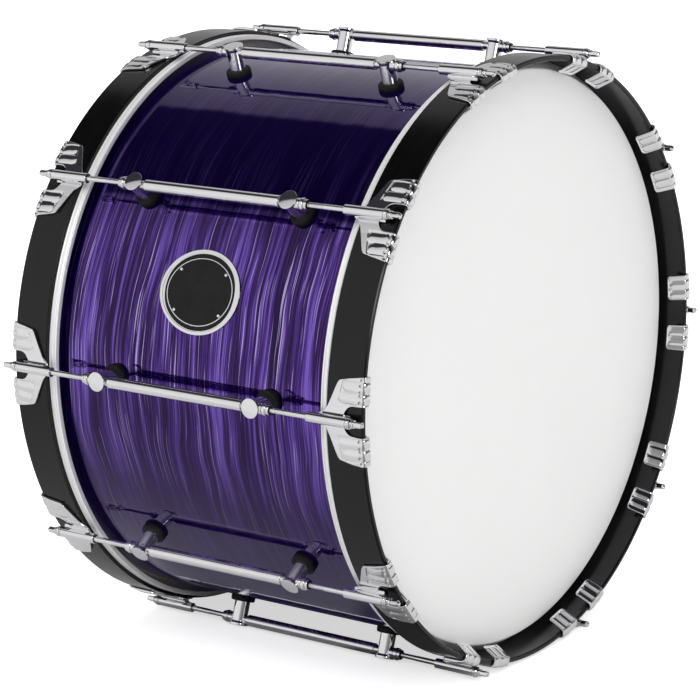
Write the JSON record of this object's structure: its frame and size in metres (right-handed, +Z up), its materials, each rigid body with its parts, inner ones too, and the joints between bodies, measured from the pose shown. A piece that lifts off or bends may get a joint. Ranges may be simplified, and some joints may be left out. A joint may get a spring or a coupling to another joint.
{
  "type": "marching bass drum",
  "caption": "Double-headed marching bass drum with a pearl wrapped shell, black hoops held by chrome double claws, tension rods and tube lugs, and white heads.",
  "frame": {"origin": "centre of the bounding box's base, under the drum's middle, with the drum at rest on the caps of the two lowest lugs", "axes": "+Z up; the drum's axis lies along Y, with the front head facing -Y and the rear head +Y; the badge is on the -X side"},
  "size_m": [0.62, 0.4206, 0.5949],
  "materials": {
    "shell_wood": "clear lacquered maple ply",
    "pearl_wrap": "deep purple pearl with streaks, clear gloss",
    "hoop_black": "satin black lacquer",
    "head_film": "smooth matte white",
    "rim_aluminium": "satin",
    "chrome_hardware": "polished",
    "badge_metal": "black with a polished edge"
  },
  "bodies": {
    "root": {"shell": "shell_wood", "shell_wrap": "pearl_wrap", "badge": "badge_metal", "vent_grommet": "chrome_hardware", "front_head": "head_film", "front_head_rim": "rim_aluminium", "rear_head": "head_film", "rear_head_rim": "rim_aluminium", "lug_01": "chrome_hardware", "lug_02": "chrome_hardware", "lug_03": "chrome_hardware", "lug_04": "chrome_hardware", "lug_05": "chrome_hardware", "lug_06": "chrome_hardware", "lug_07": "chrome_hardware", "lug_08": "chrome_hardware", "lug_09": "chrome_hardware", "lug_10": "chrome_hardware"},
    "front_hoop": {"front_hoop": "hoop_black", "front_claw_01": "chrome_hardware", "front_claw_02": "chrome_hardware", "front_claw_03": "chrome_hardware", "front_claw_04": "chrome_hardware", "front_claw_05": "chrome_hardware", "front_claw_06": "chrome_hardware", "front_claw_07": "chrome_hardware", "front_claw_08": "chrome_hardware", "front_claw_09": "chrome_hardware", "front_claw_10": "chrome_hardware"},
    "front_rod_01": {"front_rod_01": "chrome_hardware"},
    "front_rod_02": {"front_rod_02": "chrome_hardware"},
    "front_rod_03": {"front_rod_03": "chrome_hardware"},
    "front_rod_04": {"front_rod_04": "chrome_hardware"},
    "front_rod_05": {"front_rod_05": "chrome_hardware"},
    "front_rod_06": {"front_rod_06": "chrome_hardware"},
    "front_rod_07": {"front_rod_07": "chrome_hardware"},
    "front_rod_08": {"front_rod_08": "chrome_hardware"},
    "front_rod_09": {"front_rod_09": "chrome_hardware"},
    "front_rod_10": {"front_rod_10": "chrome_hardware"},
    "rear_hoop": {"rear_hoop": "hoop_black", "rear_claw_01": "chrome_hardware", "rear_claw_02": "chrome_hardware", "rear_claw_03": "chrome_hardware", "rear_claw_04": "chrome_hardware", "rear_claw_05": "chrome_hardware", "rear_claw_06": "chrome_hardware", "rear_claw_07": "chrome_hardware", "rear_claw_08": "chrome_hardware", "rear_claw_09": "chrome_hardware", "rear_claw_10": "chrome_hardware"},
    "rear_rod_01": {"rear_rod_01": "chrome_hardware"},
    "rear_rod_02": {"rear_rod_02": "chrome_hardware"},
    "rear_rod_03": {"rear_rod_03": "chrome_hardware"},
    "rear_rod_04": {"rear_rod_04": "chrome_hardware"},
    "rear_rod_05": {"rear_rod_05": "chrome_hardware"},
    "rear_rod_06": {"rear_rod_06": "chrome_hardware"},
    "rear_rod_07": {"rear_rod_07": "chrome_hardware"},
    "rear_rod_08": {"rear_rod_08": "chrome_hardware"},
    "rear_rod_09": {"rear_rod_09": "chrome_hardware"},
    "rear_rod_10": {"rear_rod_10": "chrome_hardware"}
  },
  "joints": [
    {"name": "front_hoop_slide", "type": "slide", "parent": "root", "child": "front_hoop", "axis": [0, -1, 0], "range_m": [0, 0.01058]},
    {"name": "front_rod_01_turn", "type": "hinge", "parent": "front_hoop", "child": "front_rod_01", "pos_m": [0.303, -0.2, 0.29745], "axis": [0, -1, 0], "range_deg": [0, 3600]},
    {"name": "front_rod_02_turn", "type": "hinge", "parent": "front_hoop", "child": "front_rod_02", "pos_m": [0.24513, -0.2, 0.47555], "axis": [0, -1, 0], "range_deg": [0, 3600]},
    {"name": "front_rod_03_turn", "type": "hinge", "parent": "front_hoop", "child": "front_rod_03", "pos_m": [0.09363, -0.2, 0.58562], "axis": [0, -1, 0], "range_deg": [0, 3600]},
    {"name": "front_rod_04_turn", "type": "hinge", "parent": "front_hoop", "child": "front_rod_04", "pos_m": [-0.09363, -0.2, 0.58562], "axis": [0, -1, 0], "range_deg": [0, 3600]},
    {"name": "front_rod_05_turn", "type": "hinge", "parent": "front_hoop", "child": "front_rod_05", "pos_m": [-0.24513, -0.2, 0.47555], "axis": [0, -1, 0], "range_deg": [0, 3600]},
    {"name": "front_rod_06_turn", "type": "hinge", "parent": "front_hoop", "child": "front_rod_06", "pos_m": [-0.303, -0.2, 0.29745], "axis": [0, -1, 0], "range_deg": [0, 3600]},
    {"name": "front_rod_07_turn", "type": "hinge", "parent": "front_hoop", "child": "front_rod_07", "pos_m": [-0.24513, -0.2, 0.11936], "axis": [0, -1, 0], "range_deg": [0, 3600]},
    {"name": "front_rod_08_turn", "type": "hinge", "parent": "front_hoop", "child": "front_rod_08", "pos_m": [-0.09363, -0.2, 0.00928], "axis": [0, -1, 0], "range_deg": [0, 3600]},
    {"name": "front_rod_09_turn", "type": "hinge", "parent": "front_hoop", "child": "front_rod_09", "pos_m": [0.09363, -0.2, 0.00928], "axis": [0, -1, 0], "range_deg": [0, 3600]},
    {"name": "front_rod_10_turn", "type": "hinge", "parent": "front_hoop", "child": "front_rod_10", "pos_m": [0.24513, -0.2, 0.11936], "axis": [0, -1, 0], "range_deg": [0, 3600]},
    {"name": "rear_hoop_slide", "type": "slide", "parent": "root", "child": "rear_hoop", "axis": [0, 1, 0], "range_m": [0, 0.01058]},
    {"name": "rear_rod_01_turn", "type": "hinge", "parent": "rear_hoop", "child": "rear_rod_01", "pos_m": [0.303, 0.2, 0.29745], "axis": [0, 1, 0], "range_deg": [0, 3600]},
    {"name": "rear_rod_02_turn", "type": "hinge", "parent": "rear_hoop", "child": "rear_rod_02", "pos_m": [0.24513, 0.2, 0.47555], "axis": [0, 1, 0], "range_deg": [0, 3600]},
    {"name": "rear_rod_03_turn", "type": "hinge", "parent": "rear_hoop", "child": "rear_rod_03", "pos_m": [0.09363, 0.2, 0.58562], "axis": [0, 1, 0], "range_deg": [0, 3600]},
    {"name": "rear_rod_04_turn", "type": "hinge", "parent": "rear_hoop", "child": "rear_rod_04", "pos_m": [-0.09363, 0.2, 0.58562], "axis": [0, 1, 0], "range_deg": [0, 3600]},
    {"name": "rear_rod_05_turn", "type": "hinge", "parent": "rear_hoop", "child": "rear_rod_05", "pos_m": [-0.24513, 0.2, 0.47555], "axis": [0, 1, 0], "range_deg": [0, 3600]},
    {"name": "rear_rod_06_turn", "type": "hinge", "parent": "rear_hoop", "child": "rear_rod_06", "pos_m": [-0.303, 0.2, 0.29745], "axis": [0, 1, 0], "range_deg": [0, 3600]},
    {"name": "rear_rod_07_turn", "type": "hinge", "parent": "rear_hoop", "child": "rear_rod_07", "pos_m": [-0.24513, 0.2, 0.11936], "axis": [0, 1, 0], "range_deg": [0, 3600]},
    {"name": "rear_rod_08_turn", "type": "hinge", "parent": "rear_hoop", "child": "rear_rod_08", "pos_m": [-0.09363, 0.2, 0.00928], "axis": [0, 1, 0], "range_deg": [0, 3600]},
    {"name": "rear_rod_09_turn", "type": "hinge", "parent": "rear_hoop", "child": "rear_rod_09", "pos_m": [0.09363, 0.2, 0.00928], "axis": [0, 1, 0], "range_deg": [0, 3600]},
    {"name": "rear_rod_10_turn", "type": "hinge", "parent": "rear_hoop", "child": "rear_rod_10", "pos_m": [0.24513, 0.2, 0.11936], "axis": [0, 1, 0], "range_deg": [0, 3600]}
  ],
  "couplings": [
    {"joint": "front_rod_01_turn", "follows": "front_hoop_slide", "rad_per_m": 5936.9},
    {"joint": "front_rod_02_turn", "follows": "front_hoop_slide", "rad_per_m": 5936.9},
    {"joint": "front_rod_03_turn", "follows": "front_hoop_slide", "rad_per_m": 5936.9},
    {"joint": "front_rod_04_turn", "follows": "front_hoop_slide", "rad_per_m": 5936.9},
    {"joint": "front_rod_05_turn", "follows": "front_hoop_slide", "rad_per_m": 5936.9},
    {"joint": "front_rod_06_turn", "follows": "front_hoop_slide", "rad_per_m": 5936.9},
    {"joint": "front_rod_07_turn", "follows": "front_hoop_slide", "rad_per_m": 5936.9},
    {"joint": "front_rod_08_turn", "follows": "front_hoop_slide", "rad_per_m": 5936.9},
    {"joint": "front_rod_09_turn", "follows": "front_hoop_slide", "rad_per_m": 5936.9},
    {"joint": "front_rod_10_turn", "follows": "front_hoop_slide", "rad_per_m": 5936.9},
    {"joint": "rear_rod_01_turn", "follows": "rear_hoop_slide", "rad_per_m": 5936.9},
    {"joint": "rear_rod_02_turn", "follows": "rear_hoop_slide", "rad_per_m": 5936.9},
    {"joint": "rear_rod_03_turn", "follows": "rear_hoop_slide", "rad_per_m": 5936.9},
    {"joint": "rear_rod_04_turn", "follows": "rear_hoop_slide", "rad_per_m": 5936.9},
    {"joint": "rear_rod_05_turn", "follows": "rear_hoop_slide", "rad_per_m": 5936.9},
    {"joint": "rear_rod_06_turn", "follows": "rear_hoop_slide", "rad_per_m": 5936.9},
    {"joint": "rear_rod_07_turn", "follows": "rear_hoop_slide", "rad_per_m": 5936.9},
    {"joint": "rear_rod_08_turn", "follows": "rear_hoop_slide", "rad_per_m": 5936.9},
    {"joint": "rear_rod_09_turn", "follows": "rear_hoop_slide", "rad_per_m": 5936.9},
    {"joint": "rear_rod_10_turn", "follows": "rear_hoop_slide", "rad_per_m": 5936.9}
  ]
}
